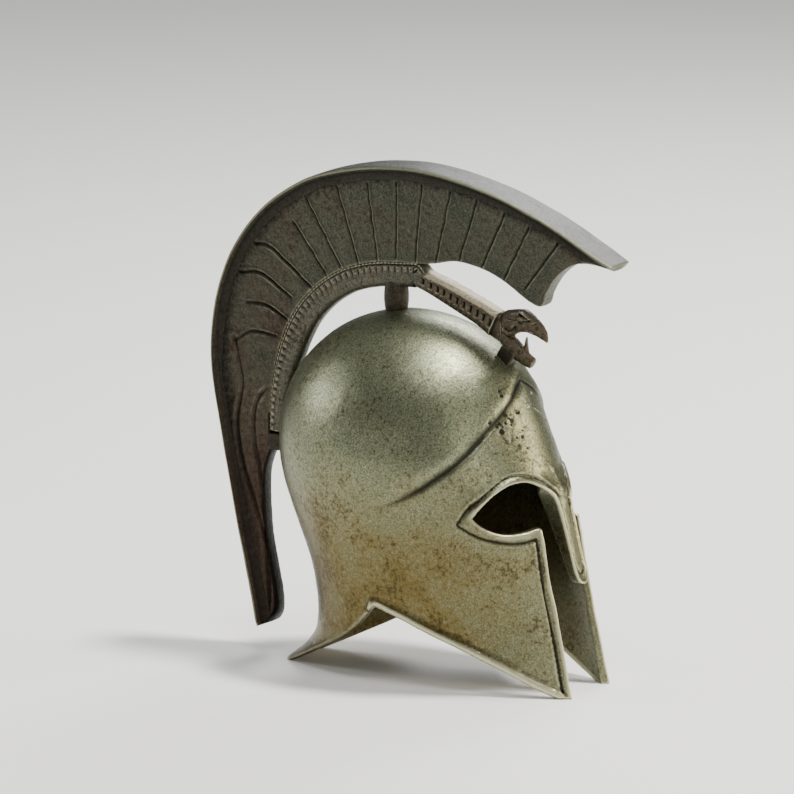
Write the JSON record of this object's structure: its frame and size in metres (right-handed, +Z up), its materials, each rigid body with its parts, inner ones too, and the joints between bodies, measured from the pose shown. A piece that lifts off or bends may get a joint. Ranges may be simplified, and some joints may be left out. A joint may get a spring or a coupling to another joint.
{
  "type": "greek bronze helmet with bird-headed crest",
  "caption": "Cast bronze desk helmet in the ancient Greek style, green-brown patina, with a tall fluted crest carried on a corded band that ends in a bird's head.",
  "frame": {"origin": "middle of the helmet's footprint box, on the surface that it stands on", "axes": "+Z up, the face looks along -Y, +X towards the wearer's left"},
  "size_m": [0.1128, 0.2398, 0.269],
  "materials": {
    "shell_bronze": "aged bronze, mottled green and brown patina, satin wax",
    "crest_bronze": "aged bronze, dark grey-green patina over sand-cast grain",
    "bird_bronze": "aged bronze, brown, rubbed bright on the high places",
    "block_bronze": "aged bronze, dark brown as cast"
  },
  "bodies": {
    "root": {"helmet_shell": "shell_bronze", "crest_plume": "crest_bronze", "crest_band": "bird_bronze", "bird_head": "bird_bronze", "crown_post": "block_bronze", "front_foot": "block_bronze", "nape_bracket": "block_bronze"}
  },
  "joints": []
}
